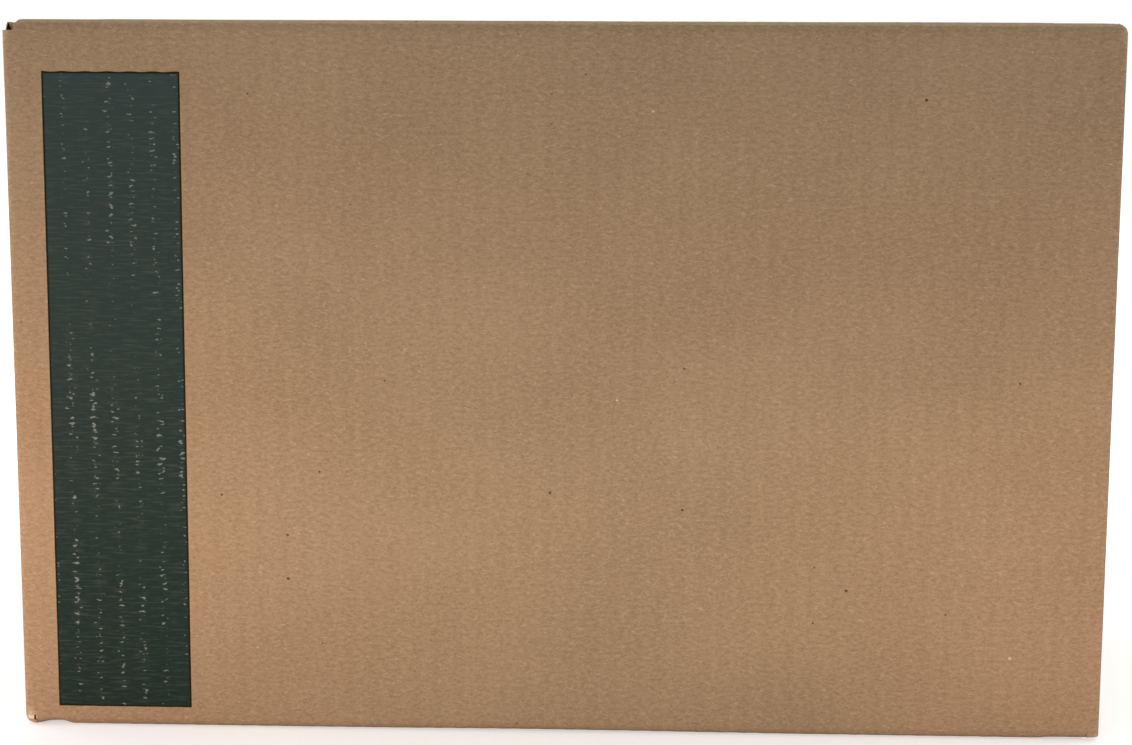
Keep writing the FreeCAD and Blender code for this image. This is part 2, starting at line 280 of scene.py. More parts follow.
class Sheet:
    """One of the board's papers: cells on the flat blank, to be folded up and given a thickness."""

    def __init__(self):
        self.numbers, self.flat, self.zones, self.cells = {}, [], [], []

    def lay(self, columns, rows, zone, joined_at=None, warp=None):
        """Cells between the columns and rows. The row at joined_at belongs to the walls too."""
        wall = walls.get(zone.partition(":")[2])
        grid = []
        for t in sorted(rows):
            line = []
            for s in columns:
                on_wall = joined_at is not None and abs(t - joined_at) < 1e-9 and (
                    wall.start - 1e-9 <= s <= wall.end + 1e-9)
                owner = "walls" if on_wall else zone
                key = (round(s * 1e7), round(t * 1e7), owner)
                if key not in self.numbers:
                    self.numbers[key] = len(self.flat)
                    self.flat.append((s, warp(s, t) if warp else t))
                    self.zones.append(owner)
                line.append(self.numbers[key])
            grid.append(line)
        for low, high in zip(grid, grid[1:]):
            for i in range(len(low) - 1):
                self.cells.append((low[i], high[i], high[i + 1], low[i + 1]))

    def piece(self, name, ply, outside, inside, materials):
        """The folded paper as an object. outside and inside give u for its two faces."""
        s, t = np.array(self.flat).T
        count, zones = len(s), np.array(self.zones)
        places, blanks = [], []
        for face in (outside, inside):
            u = face(s, t)
            folded = np.empty((count, 3))
            for zone in dict.fromkeys(self.zones):
                here = zones == zone
                folded[here] = fold_up(s[here], t[here], u[here], zone, ply)
            places.append(folded)
            blanks.append(np.column_stack((s, t, u)))
        sides = {(a, b) for cell in self.cells for a, b in zip(cell, cell[1:] + cell[:1])}
        rim = sorted((a, b) for a, b in sides if (b, a) not in sides)
        faces = list(self.cells)
        faces += [tuple(count + i for i in reversed(cell)) for cell in self.cells]
        faces += [(b, a, a + count, b + count) for a, b in rim]
        mesh = bpy.data.meshes.new(name)
        mesh.from_pydata(np.vstack(places), [], faces)
        for material in materials:
            mesh.materials.append(material)
        cut = np.zeros(len(faces), dtype=np.int32)
        cut[2 * len(self.cells):] = len(materials) - 1
        mesh.polygons.foreach_set("material_index", cut)
        mesh.attributes.new("blank", "FLOAT_VECTOR", "POINT").data.foreach_set(
            "vector", np.vstack(blanks).ravel())
        mesh.attributes.new("wear", "FLOAT", "POINT").data.foreach_set(
            "value", np.tile(wear(s, t), 2))
        mesh.shade_smooth()
        mesh.set_sharp_from_angle(angle=math.radians(40))
        made = bpy.data.objects.new(name, mesh)
        bpy.context.scene.collection.objects.link(made)
        return made


def wear(s, t):
    """How rubbed the board is: a little along the corners and the outside of the folds, and down to
    the pale pulp at the front left corner's lower end."""
    rubbed = sum(0.35 * near(s, corner, 2.2 * MM) for corner in corners.values())
    for fold, way in ((long_fold_low, -1), (long_fold_high, 1), (short_fold_high, 1)):
        rubbed = rubbed + 0.3 * near(t, fold + way * bend / 2, 2 * MM)
    raw = near(s, walls["front"].end + 1.0 * MM, 1.7 * MM) * near(t, 3.4 * MM, 0.8 * MM)
    return rubbed + 2.6 * raw


def lines(*stops, step):
    """Evenly spaced lines from each stop to the next, about a step apart."""
    found = [stops[0]]
    for start, end in zip(stops, stops[1:]):
        count = max(1, round(abs(end - start) / step))
        found += [start + (end - start) * i / count for i in range(1, count + 1)]
    return found


# Unbleached kraft is brown, matt and cloudy where the pulp lies uneven, with fibres that lie mostly
# along the sheet, a few of them pale, and small specks of bark.


def add_node(tree, kind, settings=None, **inputs):
    """A node with its inputs by name, where _ stands for a space, or by number, as in i0. A socket
    given as a value is linked."""
    node = tree.nodes.new(kind)
    for name, value in (settings or {}).items():
        setattr(node, name, value)
    for name, value in inputs.items():
        label = int(name[1:]) if name[1:].isdigit() else name.replace("_", " ")
        socket = node.inputs[label]
        if isinstance(value, bpy.types.NodeSocket):
            tree.links.new(value, socket)
        else:
            socket.default_value = value
    return node


def maths(tree, operation, *values):
    sockets = {f"i{number}": value for number, value in enumerate(values)}
    return add_node(tree, "ShaderNodeMath", {"operation": operation}, **sockets).outputs[0]


def stretched(tree, vector, along, up, shift=0.0):
    """The place on the sheet times so much along it and up it: a pattern's grains per metre."""
    return add_node(tree, "ShaderNodeVectorMath", {"operation": "MULTIPLY_ADD"}, i0=vector,
                    i1=(along, up, 1000), i2=(shift, shift, shift)).outputs[0]


def grain(tree, vector, detail, roughness=0.5):
    return add_node(tree, "ShaderNodeTexNoise", Vector=vector, Scale=1.0, Detail=detail,
                    Roughness=roughness).outputs["Fac"]


def between(tree, value, low, high, out_low=0.0, out_high=1.0, smooth=False):
    """out_low up to where the value is low, and from there rising to out_high where it is high."""
    kind = "SMOOTHSTEP" if smooth else "LINEAR"
    return add_node(tree, "ShaderNodeMapRange", {"interpolation_type": kind}, Value=value,
                    From_Min=low, From_Max=high, To_Min=out_low, To_Max=out_high).outputs[0]


def mixed(tree, share, first, second):
    return add_node(tree, "ShaderNodeMix", {"data_type": "RGBA"}, i0=share, i6=first,
                    i7=second).outputs[2]


def new_group(name, inputs, outputs):
    group = bpy.data.node_groups.new(name, "ShaderNodeTree")
    for way, sockets in (("INPUT", inputs), ("OUTPUT", outputs)):
        for label, kind in sockets.items():
            group.interface.new_socket(label, in_out=way, socket_type=f"NodeSocket{kind}")
    return group, group.nodes.new("NodeGroupInput").outputs, group.nodes.new("NodeGroupOutput").inputs


def make_flute_lines():
    """1 over the hollows between flute tips, where the facing sinks, and 0 along the tips."""
    group, given, wanted = new_group("flute_lines", {"Blank": "Vector"}, {"Hollow": "Float"})
    along = add_node(group, "ShaderNodeSeparateXYZ", Vector=given["Blank"]).outputs[0]
    phase = maths(group, "MULTIPLY_ADD", along, 2 * math.pi / PITCH,
                  -2 * math.pi * FIRST_FLUTE / PITCH)
    wave = maths(group, "COSINE", phase)
    group.links.new(maths(group, "MULTIPLY_ADD", wave, 0.5, 0.5), wanted["Hollow"])
    return group


flute_lines = make_flute_lines()


def fibre_lines(tree, blank, turn, along, up, shift):
    """Thin, broken, gently curving lines that lie about turn radians off the sheet's length."""
    turned = add_node(tree, "ShaderNodeVectorRotate", {"rotation_type": "Z_AXIS"}, Vector=blank,
                      Angle=turn).outputs[0]
    field = grain(tree, stretched(tree, turned, along, up, shift), 1, 0.4)
    ridge = maths(tree, "ABSOLUTE", maths(tree, "SUBTRACT", field, 0.5))
    line = between(tree, ridge, 0.004, 0.018, 1, 0, smooth=True)
    broken = between(tree, grain(tree, stretched(tree, turned, 500, 900, shift + 3), 1), 0.50, 0.60)
    return maths(tree, "MULTIPLY", line, broken)


def make_kraft_paper():
    group, given, wanted = new_group(
        "kraft_paper",
        {"Blank": "Vector", "Dark": "Color", "Light": "Color", "Fibres": "Float",
         "Specks": "Float", "Wear": "Float"},
        {"Color": "Color", "Roughness": "Float", "Height": "Float"})
    blank = given["Blank"]
    cloud = grain(group, stretched(group, blank, 16, 20), 3)
    pulp = grain(group, stretched(group, blank, 420, 760), 6, 0.70)
    fibre = grain(group, stretched(group, blank, 900, 2600), 4, 0.7)
    hollow = add_node(group, "ShaderNodeGroup", {"node_tree": flute_lines}, Blank=blank).outputs[0]

    tone = maths(group, "MULTIPLY", cloud, 0.14)
    tone = maths(group, "MULTIPLY_ADD", pulp, 0.56, tone)
    tone = maths(group, "MULTIPLY_ADD", fibre, 0.28, tone)
    tone = maths(group, "MULTIPLY_ADD", hollow, 0.02, tone)
    color = mixed(group, between(group, tone, 0.38, 0.62), given["Dark"], given["Light"])

    dark_fibres = maths(group, "MAXIMUM", fibre_lines(group, blank, 0.5, 150, 420, 31.0),
                        fibre_lines(group, blank, -0.2, 170, 520, 47.0))
    share = maths(group, "MULTIPLY", maths(group, "MULTIPLY", dark_fibres, 0.22), given["Fibres"])
    color = mixed(group, share, color, (0.15, 0.085, 0.045, 1))
    pale_fibres = maths(group, "MAXIMUM", fibre_lines(group, blank, -0.4, 150, 460, 5.0),
                        fibre_lines(group, blank, 0.1, 190, 600, 17.0))
    share = maths(group, "MULTIPLY", maths(group, "MULTIPLY", pale_fibres, 0.30), given["Fibres"])
    color = mixed(group, share, color, (0.60, 0.46, 0.31, 1))

    spots = add_node(group, "ShaderNodeTexVoronoi", {"voronoi_dimensions": "2D"},
                     Vector=stretched(group, blank, 80, 92), Scale=1.0)
    chance = add_node(group, "ShaderNodeSeparateColor", Color=spots.outputs["Color"])
    size = maths(group, "MULTIPLY", maths(group, "POWER", chance.outputs[0], 30.0), 0.065)
    fade = maths(group, "DIVIDE", spots.outputs["Distance"], maths(group, "ADD", size, 0.0001))
    speck = between(group, fade, 0.55, 1.0, 1, 0, smooth=True)
    speck = maths(group, "MULTIPLY", speck, given["Specks"])
    pale = maths(group, "GREATER_THAN", chance.outputs[1], 0.75)
    speck_color = mixed(group, pale, (0.11, 0.058, 0.03, 1), (0.56, 0.46, 0.32, 1))
    color = mixed(group, speck, color, speck_color)

    rub = maths(group, "ADD", given["Wear"], maths(group, "MULTIPLY_ADD", pulp, 1.5, -0.75))
    color = mixed(group, between(group, rub, 0.3, 1.0, 0, 0.8), color, (0.56, 0.43, 0.28, 1))
    color = mixed(group, between(group, rub, 1.0, 1.6, 0, 0.9), color, (0.72, 0.61, 0.45, 1))
    group.links.new(color, wanted["Color"])
    group.links.new(between(group, pulp, 0.3, 0.7, 0.72, 0.9), wanted["Roughness"])
    height = maths(group, "MULTIPLY_ADD", fibre, 0.6, maths(group, "MULTIPLY", pulp, 0.8))
    group.links.new(height, wanted["Height"])
    return group


kraft_paper = make_kraft_paper()


def paper_material(name, dark, light, specks, bump):
    """A material of kraft paper in the given range of browns. bump is its grain's depth."""
    material = bpy.data.materials.new(name)
    material.use_nodes = True
    tree = material.node_tree
    blank = add_node(tree, "ShaderNodeAttribute", {"attribute_name": "blank"}).outputs["Vector"]
    rubbed = add_node(tree, "ShaderNodeAttribute", {"attribute_name": "wear"}).outputs["Fac"]
    paper = add_node(tree, "ShaderNodeGroup", {"node_tree": kraft_paper}, Blank=blank,
                     Dark=(*dark, 1), Light=(*light, 1), Fibres=1.0, Specks=specks,
                     Wear=rubbed).outputs
    relief = add_node(tree, "ShaderNodeBump", Height=paper["Height"], Strength=1.0, Distance=bump)
    skin = tree.nodes["Principled BSDF"]
    skin.inputs["Specular IOR Level"].default_value = 0.12
    for source, target in ((paper["Color"], "Base Color"), (paper["Roughness"], "Roughness"),
                           (relief.outputs[0], "Normal")):
        tree.links.new(source, skin.inputs[target])
    return material


outer_kraft = paper_material(
    "outer_kraft", (0.268, 0.178, 0.101), (0.408, 0.286, 0.171), specks=1.0, bump=0.03 * MM)
cut_paper = paper_material(
    "cut_paper", (0.326, 0.232, 0.143), (0.530, 0.402, 0.270), specks=0.0, bump=0.08 * MM)


# The sheet's parts, from the glue tab round the four walls, with the four bottom flaps and the two
# short top flaps. The printed band's edges are lines of the mesh, so that the band fits it.

BAND_LEFT, BAND_RIGHT = 14.5 * MM, 66.1 * MM     # the printed band, from the front panel's left edge
BAND_LOW, BAND_HIGH = 8.2 * MM, 251.7 * MM       # above the floor
FINE = PITCH / 6          # the mesh's step across the flutes
SPAN = 22 * MM            # and along them
HAIR = 0.03 * MM          # a knife's cut that opens no gap

front_left = walls["front"].end + BOARD          # the front panel's left edge, on the sheet
band_columns = (front_left - BAND_RIGHT, front_left - BAND_LEFT)


def flap_span(name):
    """Where a wall's flaps start and end along the sheet."""
    wall = walls[name]
    return wall.start + flap_gap, (wall.end if name == "back" else wall.end - flap_gap)


def ragged(s):
    """How uneven a knife's cut across the flutes is."""
    waver = math.sin(s / (3.1 * MM)) * math.sin(s / (7.7 * MM) + 1) + math.sin(s / MM) / 2
    return 0.12 * MM * waver


def free_edge(start, way, recess):
    """Gives a flap's last row its uneven cut, and keeps the others where they are."""
    end = start + way * flap_run
    return lambda s, t: t - way * (recess + ragged(s)) if abs(t - end) < 1e-9 else t


def wall_rows():
    return lines(short_fold_low, BAND_HIGH, short_fold_high, step=SPAN)


def tab_slope(s, t):
    """The glue tab's two ends slope together towards its free edge."""
    if s > walls["tab"].end - 1e-9:
        return t
    slope = TAB_RELIEF + TAB_TAPER * (1 - s / walls["tab"].end)
    share = (t - short_fold_low) / (short_fold_high - short_fold_low)
    return t + slope * (1 - 2 * share)


def corner_foot(name):
    """Where a corner's lower end is. The front right one is cut a little shorter."""
    return corner_low + (0.55 * MM if name == "right" else 0)


def lay_walls(sheet, step):
    """The walls, their corners down to the foot and up to the slots, and the glue tab."""
    rows = wall_rows()
    for name in ("right", "front", "left", "back"):
        wall = walls[name]
        first, last = flap_span(name)
        stops = [wall.start, first, last]
        if name == "front":
            stops = [wall.start, first - HAIR, first, *band_columns, last]
        if name != "back":
            stops.append(wall.end)
        columns = lines(*stops, step=step)
        sheet.lay(columns, rows, "walls")
        if name in ("front", "back"):
            sheet.lay(columns, [long_fold_low, BAND_LOW, short_fold_low], "walls")
            sheet.lay(columns, [short_fold_high, corner_high], "walls")
    for name in corners:
        wall = walls[name]
        columns = lines(wall.end, wall.end + bend, step=bend / 6)
        low = lines(corner_foot(name), long_fold_low, step=0.7 * MM)
        sheet.lay(columns, low, "walls")
        if name == "right":
            # This corner's lower slot is only a knife's cut, right beside the flap.
            cut = flap_span("front")[0] - HAIR
            sheet.lay([wall.end + bend, cut], low, "walls")
            sheet.lay([cut, cut + 0.6 * MM], low[:2], "walls")
        if name == "front":
            # The facing was left joined across this one's lower end.
            cut = flap_span("front")[1] + HAIR
            sheet.lay([cut - 0.6 * MM, cut], low[:2], "walls")
            sheet.lay([cut, wall.end], low[:3], "walls")
        sheet.lay(columns, [long_fold_low, BAND_LOW, short_fold_low], "walls")
        sheet.lay(columns, rows, "walls")
        sheet.lay(columns, [short_fold_high, corner_high], "walls")
    sheet.lay(lines(0, walls["tab"].end, step=step), rows, "walls", warp=tab_slope)


def lay_flaps(sheet, step, arc_steps, recess=0, joined=True):
    """The bottom flaps and the short top flaps, each from its fold to its free edge."""
    for name in ("right", "front", "left", "back"):
        first, last = flap_span(name)
        stops = (first, *band_columns, last) if name == "front" else (first, last)
        for kind in ("long_bottom",) if name in ("front", "back") else ("short_bottom", "short_top"):
            start, way = fold_start[kind]
            rows = lines(start, start + way * bend, step=bend / arc_steps)
            rows += lines(start + way * bend, start + way * flap_run, step=SPAN)[1:]
            sheet.lay(lines(*stops, step=step), rows, f"{kind}:{name}",
                      joined_at=start if joined else None, warp=free_edge(start, way, recess))


def sunk(ply):
    """A facing sinks a little between the flute tips that it is glued to."""
    way, phase = (1, 0) if ply == "outer" else (-1, math.pi)
    return lambda s, t: way * 0.075 * MM * (1 + 0.4 * ripples(s, t, 34 * MM, 9)) * (
        0.5 + 0.5 * np.cos(flute_phase(s) + phase))


def facing(name, ply, sheet, materials):
    """One of the two flat papers of the board."""
    dip, skin = sunk(ply), (0 if ply == "outer" else BOARD - LINER)
    return sheet.piece(name, ply, lambda s, t: dip(s, t) + skin,
                       lambda s, t: dip(s, t) + skin + LINER, materials)


def lay_half_folds(sheet, step, end, rise_step):
    for name in ("front", "back"):
        first, last = flap_span(name)
        stops = (first, *band_columns, last) if name == "front" else (first, last)
        sheet.lay(lines(*stops, step=step), lines(long_fold_high, end, step=rise_step),
                  f"half_fold:{name}", joined_at=long_fold_high)


def of_box(piece):
    """The piece stays with the box, and is shown in place of the CAD's carton."""
    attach(piece, "box")
    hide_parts("carton")


def lay_tongue(sheet):
    """The front right corner's top slot was torn, not cut: a tongue of the facing fills it, bent
    over level with the flap beside it."""
    wall, tall = walls["right"], 5.4 * MM

    def torn(s, t):
        rise = 0.2 + 0.8 * min(1, (s - wall.end) / (bend / 2))
        return corner_high + (t - corner_high) * rise

    columns = lines(wall.end, wall.end + bend, step=bend / 6) + [flap_span("front")[0] - HAIR]
    sheet.lay(columns, lines(corner_high, corner_high + tall, step=tall / 4), "walls", warp=torn)


outer_sheet = Sheet()
lay_walls(outer_sheet, FINE)
lay_tongue(outer_sheet)
lay_flaps(outer_sheet, FINE, 10)
lay_half_folds(outer_sheet, FINE, hinge_t, half_bend / 3)
of_box(facing("carton_outer_facing", "outer", outer_sheet, (outer_kraft, cut_paper)))

# ------------------------------------------------------------------ carton, inner facing
# The paper inside the walls and flaps. Along the long top folds it turns out over the board's
# mitred edge, almost to the line where the flap turns.

MITRE_COVER = 3.55 * MM

inner_kraft = paper_material(
    "inner_kraft", (0.278, 0.188, 0.108), (0.420, 0.298, 0.180), specks=0.6, bump=0.05 * MM)
inner_sheet = Sheet()
lay_walls(inner_sheet, PITCH / 4)
lay_flaps(inner_sheet, PITCH / 4, 5)
lay_half_folds(inner_sheet, PITCH / 4, long_fold_high + MITRE_COVER, MITRE_COVER / 3)
of_box(facing("carton_inner_facing", "inner", inner_sheet, (inner_kraft, cut_paper)))

# ------------------------------------------------------------------ carton, fluting
# The wavy paper that the two facings are glued to, which shows wherever the board is cut: at the
# flaps' free edges, the corners' ends, the glue tab and the back wall's raw edge.

MEDIUM = 0.4 * MM         # how thick the wavy paper is
WAVE_STEP = PITCH / 10
WAVE_HEIGHT = (BOARD - 2 * LINER - MEDIUM) / 2

fluting_paper = paper_material(
    "fluting_paper", (0.198, 0.133, 0.079), (0.325, 0.226, 0.137), specks=0.3, bump=0.05 * MM)


def wave(way):
    """One face of the fluting. Its tips touch the facings."""
    def face(s, t):
        slope = 2 * math.pi / PITCH * WAVE_HEIGHT * np.sin(flute_phase(s))
        half_paper = MEDIUM / 2 * np.sqrt(1 + slope ** 2)
        return BOARD / 2 + WAVE_HEIGHT * np.cos(flute_phase(s)) + way * half_paper
    return face


def fluting(name, sheet):
    return sheet.piece(name, "fluting", wave(-1), wave(1), (fluting_paper, fluting_paper))


fluting_sheet = Sheet()
lay_flaps(fluting_sheet, WAVE_STEP, 5, recess=0.25 * MM, joined=False)
fluting_sheet.lay(lines(0, walls["tab"].end, step=WAVE_STEP), wall_rows(), "walls", warp=tab_slope)
for name in corners:
    wall = walls[name]
    fluting_sheet.lay(lines(wall.end, wall.end + bend, step=bend / 12),
                      [corner_foot(name) + 0.2 * MM, long_fold_low, short_fold_low,
                       *wall_rows()[1:], corner_high - 0.2 * MM], "walls")
for start, end in ((walls["front"].start, flap_span("front")[0]),
                   (flap_span("front")[1], walls["front"].end),
                   (walls["back"].start, flap_span("back")[0]),
                   (walls["back"].end - 3 * PITCH, walls["back"].end)):
    fluting_sheet.lay(lines(start, end, step=WAVE_STEP),
                      [long_fold_low, short_fold_low, *wall_rows()[1:], corner_high - 0.2 * MM],
                      "walls")
of_box(fluting("carton_fluting", fluting_sheet))

# ------------------------------------------------------------------ long top flaps
# The two flaps that open, cut from the same sheet as the walls they are folded from. They lie shut
# with their free edges 2 mm apart, and each turns over on the middle of its fold.


def lay_top_flap(sheet, name, step, start, recess):
    fold_end = hinge_t + half_bend
    rows = lines(start, fold_end, step=1.1 * MM) + lines(fold_end, top_flap_end, step=SPAN)[1:]
    first, last = flap_span(name)
    stops = (first, *band_columns, last) if name == "front" else (first, last)
    sheet.lay(lines(*stops, step=step), rows, f"top_flap:{name}",
              warp=lambda s, t: t - recess - ragged(s) if abs(t - top_flap_end) < 1e-9 else t)


def make_top_flap(name, node, body):
    papers = []
    for ply, step, start, recess in (("outer", FINE, hinge_t + 0.04 * MM, 0),
                                     ("inner", PITCH / 4, hinge_t + half_bend - MITRE_COVER, 0),
                                     ("fluting", WAVE_STEP, hinge_t + half_bend, 0.25 * MM)):
        sheet = Sheet()
        lay_top_flap(sheet, name, step, start, recess)
        if ply == "fluting":
            papers.append(fluting(f"{name}_flap_{ply}", sheet))
        else:
            kraft = outer_kraft if ply == "outer" else inner_kraft
            papers.append(facing(f"{name}_flap_{ply}", ply, sheet, (kraft, cut_paper)))
    with bpy.context.temp_override(active_object=papers[0], selected_editable_objects=papers):
        bpy.ops.object.join()
    flap = papers[0]
    flap.name = flap.data.name = f"{name}_top_flap"
    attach(flap, body)
    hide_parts(node)


make_top_flap("front", "top_flap_front", "front_flap")
make_top_flap("back", "top_flap_back", "back_flap")

# ------------------------------------------------------------------ printed band
# A plain dark green band, printed on the blank by a flexographic press before it was cut. The ink
# misses where the facing sinks between two flutes, which leaves rows of small pale flecks.

INK = 0.03 * MM          # how far the ink stands out from the paper
SKEW = 0.0033            # the print lies a little askew: so much along the sheet for each metre up
BAND_MIDDLE = (BAND_LOW + BAND_HIGH) / 2


def make_ink_rim():
    """1 along the band's four edges, where the plate squeezes the ink out, and 0 inside."""
    group, given, wanted = new_group("ink_rim", {"Blank": "Vector"}, {"Rim": "Float"})
    place = add_node(group, "ShaderNodeSeparateXYZ", Vector=given["Blank"]).outputs
    turned_back = maths(group, "MULTIPLY_ADD", place[1], SKEW, -SKEW * BAND_MIDDLE)
    along = maths(group, "ADD", place[0], turned_back)
    inside = 1.0
    for at, (low, high) in ((along, band_columns), (place[1], (BAND_LOW, BAND_HIGH))):
        inside = maths(group, "MINIMUM", maths(group, "SUBTRACT", at, low), inside)
        inside = maths(group, "MINIMUM", maths(group, "SUBTRACT", high, at), inside)
    group.links.new(between(group, inside, 0.35 * MM, 1.1 * MM, 1, 0, smooth=True), wanted["Rim"])
    return group


def band_material():
    material = bpy.data.materials.new("band_ink")
    material.use_nodes = True
    tree = material.node_tree
    blank = add_node(tree, "ShaderNodeAttribute", {"attribute_name": "blank"}).outputs["Vector"]
    paper = add_node(tree, "ShaderNodeGroup", {"node_tree": kraft_paper}, Blank=blank,
                     Dark=(0.011, 0.024, 0.019, 1), Light=(0.018, 0.034, 0.028, 1),
                     Fibres=0.0, Specks=0.0, Wear=0.0).outputs
    up = add_node(tree, "ShaderNodeSeparateXYZ", Vector=blank).outputs[1]
    # Painted sheen: from 60 mm up to the band's top, the ink's colour is mixed more and more towards a
    # pale grey-green. This stands in for the lamps' sheen on the band's upper part, not for thinner
    # ink.
    painted_sheen = between(tree, up, 60 * MM, BAND_HIGH, 0, 0.62)
    ink = mixed(tree, painted_sheen, paper["Color"], (0.050, 0.073, 0.068, 1))
    rim = add_node(tree, "ShaderNodeGroup", {"node_tree": make_ink_rim()}, Blank=blank).outputs[0]
    hollow = add_node(tree, "ShaderNodeGroup", {"node_tree": flute_lines}, Blank=blank).outputs[0]
    scratch = grain(tree, stretched(tree, blank, 130, 1300, 3.0), 2)
    color = mixed(tree, between(tree, scratch, 0.50, 0.72, 0, 0.30), ink, (0.085, 0.105, 0.088, 1))
    flecks = grain(tree, stretched(tree, blank, 460, 900, 5.0), 1, 0.4)
    patches = grain(tree, stretched(tree, blank, 45, 22, 9.0), 1)
    chance = maths(tree, "MULTIPLY_ADD", hollow, 0.30, flecks)
    chance = maths(tree, "MULTIPLY_ADD", patches, 0.30, chance)
    missed = between(tree, chance, 1.05, 1.15, 0, 0.8, smooth=True)
    color = mixed(tree, missed, color, (0.20, 0.235, 0.205, 1))
    color = mixed(tree, rim, color, (0.014, 0.014, 0.006, 1))
    relief = add_node(tree, "ShaderNodeBump", Height=paper["Height"], Strength=1.0, Distance=0.02 * MM)
    skin = tree.nodes["Principled BSDF"]
    skin.inputs["Specular IOR Level"].default_value = 0.04
    for source, target in ((color, "Base Color"), (relief.outputs[0], "Normal"),
                           (between(tree, flecks, 0.3, 0.7, 0.65, 0.8), "Roughness")):
        tree.links.new(source, skin.inputs[target])
    return material


def band_edge(s, t):
    """The band's ends waver a little from flute to flute, the top one more."""
    waver = -0.05 * MM * (abs(t - BAND_LOW) < 1e-9) + 0.13 * MM * (abs(t - BAND_HIGH) < 1e-9)
    return t + waver * math.cos(flute_phase(s))


band_sheet = Sheet()
band_rows = [BAND_LOW, *[t for t in wall_rows() if t < BAND_HIGH + 1e-9]]
band_sheet.lay(lines(*band_columns, step=FINE), band_rows, "walls", warp=band_edge)
band_sheet.flat = [(s - SKEW * (t - BAND_MIDDLE), t) for s, t in band_sheet.flat]
band_ink = band_material()
dip = sunk("outer")
printed_band = band_sheet.piece("printed_band", "outer", lambda s, t: dip(s, t) - INK,
                                lambda s, t: dip(s, t) + INK, (band_ink, band_ink))
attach(printed_band, "box")
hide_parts("carton")

# ------------------------------------------------------------------ bottom tape
# Brown packing tape, pulled along the bottom seam and 60 mm up each end. It bridges the step from
# the long flaps' ends to the end walls, and its ends are cut by the dispenser's teeth.

TAPE = 0.15 * MM
tape_low, tape_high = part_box("bottom_tape")


def tape_path():
    """Half of the tape's length: where its sticky side runs, which way it faces, how far along."""
    edge, fold = Vector((flap_half, underside)), Vector((half_length - BOARD, short_fold_low))
    slant = (fold - edge).angle_signed(Vector((1, 0))) - math.asin(BOARD / (fold - edge).length)
    touch = fold + BOARD * Vector((math.sin(slant), -math.cos(slant)))
    path = [(x, underside, 0.0) for x in lines(0, flap_half, step=PITCH / 4)]
    path += [(edge.x, edge.y, slant * share) for share in (0.5, 1)]
    path += [(*edge.lerp(touch, share), slant) for share in (0.25, 0.5, 0.75)]
    for angle in lines(slant, math.pi / 2, step=math.pi / 2 / 12):
        path.append((fold.x + BOARD * math.sin(angle), fold.y - BOARD * math.cos(angle), angle))
    rise = lines(short_fold_low, tape_high.z, step=5 * MM)[1:]
    return path + [(half_length, z, math.pi / 2) for z in rise]


def tape_material():
    material = bpy.data.materials.new("brown_tape")
    material.use_nodes = True
    tree = material.node_tree
    run = add_node(tree, "ShaderNodeAttribute", {"attribute_name": "tape_run"}).outputs["Vector"]
    streak = grain(tree, stretched(tree, run, 12, 900), 3)
    cloud = grain(tree, stretched(tree, run, 60, 70), 3)
    loose = grain(tree, stretched(tree, run, 420, 420, 4.0), 2, 0.5)
    color = mixed(tree, between(tree, maths(tree, "ADD", streak, cloud), 0.7, 1.3),
                  (0.25, 0.138, 0.045, 1), (0.35, 0.205, 0.072, 1))
    pocket = maths(tree, "MULTIPLY_ADD", cloud, 0.5, loose)
    pocket = between(tree, pocket, 0.88, 0.94, 0, 0.5, smooth=True)
    color = mixed(tree, pocket, color, (0.46, 0.31, 0.15, 1))
    height = maths(tree, "MULTIPLY_ADD", streak, 0.5, maths(tree, "MULTIPLY", pocket, 0.6))
    relief = add_node(tree, "ShaderNodeBump", Height=height, Strength=1.0, Distance=0.02 * MM)
    skin = tree.nodes["Principled BSDF"]
    skin.inputs["Specular IOR Level"].default_value = 0.08
    for source, target in ((color, "Base Color"), (relief.outputs[0], "Normal"),
                           (between(tree, cloud, 0.35, 0.65, 0.25, 0.40), "Roughness")):
        tree.links.new(source, skin.inputs[target])
    return material


def make_tape():
    half = tape_path()
    path = np.array([(-x, z, -angle) for x, z, angle in half[:0:-1]] + half)
    columns = lines(tape_low.y, tape_high.y, step=1.2 * MM)
    width, rows = len(columns), len(path)
    x, z, angle = np.repeat(path, width, axis=0).T
    y = np.tile(columns, rows)
    steps = np.hypot(*np.diff(path[:, :2], axis=0).T)
    along = np.repeat(np.concatenate(([0], np.cumsum(steps))), width)

    s = np.where(x > 0, walls["right"].start + walls["right"].at[1] - y,
                 walls["left"].start + y - walls["left"].at[1])
    out = 0.01 * MM + np.where(abs(x) > half_length - 1e-6, belly(s, z), 0)
    out -= np.where(angle == 0, 0.12 * MM * near(y, 0, 1.2 * MM), 0)
    teeth = 0.9 * MM * (np.arange(width) % 2)
    z[:width] -= teeth
    z[-width:] -= teeth
    normal = np.column_stack((np.sin(angle), np.zeros(len(x)), -np.cos(angle)))
    sticky = np.column_stack((x, y, z)) + normal * out[:, None]
    shiny = sticky + normal * (TAPE - 0.02 * MM)

    inner = [(i, i + 1, i + 1 + width, i + width)
             for row in range(rows - 1) for i in range(row * width, row * width + width - 1)]
    count = rows * width
    sides = {(a, b) for face in inner for a, b in zip(face, face[1:] + face[:1])}
    faces = inner + [tuple(count + i for i in reversed(face)) for face in inner]
    faces += [(b, a, a + count, b + count) for a, b in sorted(sides) if (b, a) not in sides]
    mesh = bpy.data.meshes.new("bottom_tape_strip")
    mesh.from_pydata(np.vstack((sticky, shiny)), [], faces)
    mesh.materials.append(tape_material())
    run = np.column_stack((along, y, np.zeros(count)))
    mesh.attributes.new("tape_run", "FLOAT_VECTOR", "POINT").data.foreach_set(
        "vector", np.vstack((run, run)).ravel())
    mesh.shade_smooth()
    mesh.set_sharp_from_angle(angle=math.radians(40))
    tape = bpy.data.objects.new("bottom_tape_strip", mesh)
    bpy.context.scene.collection.objects.link(tape)
    return tape


bottom_tape_strip = make_tape()
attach(bottom_tape_strip, "box")
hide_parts("bottom_tape")

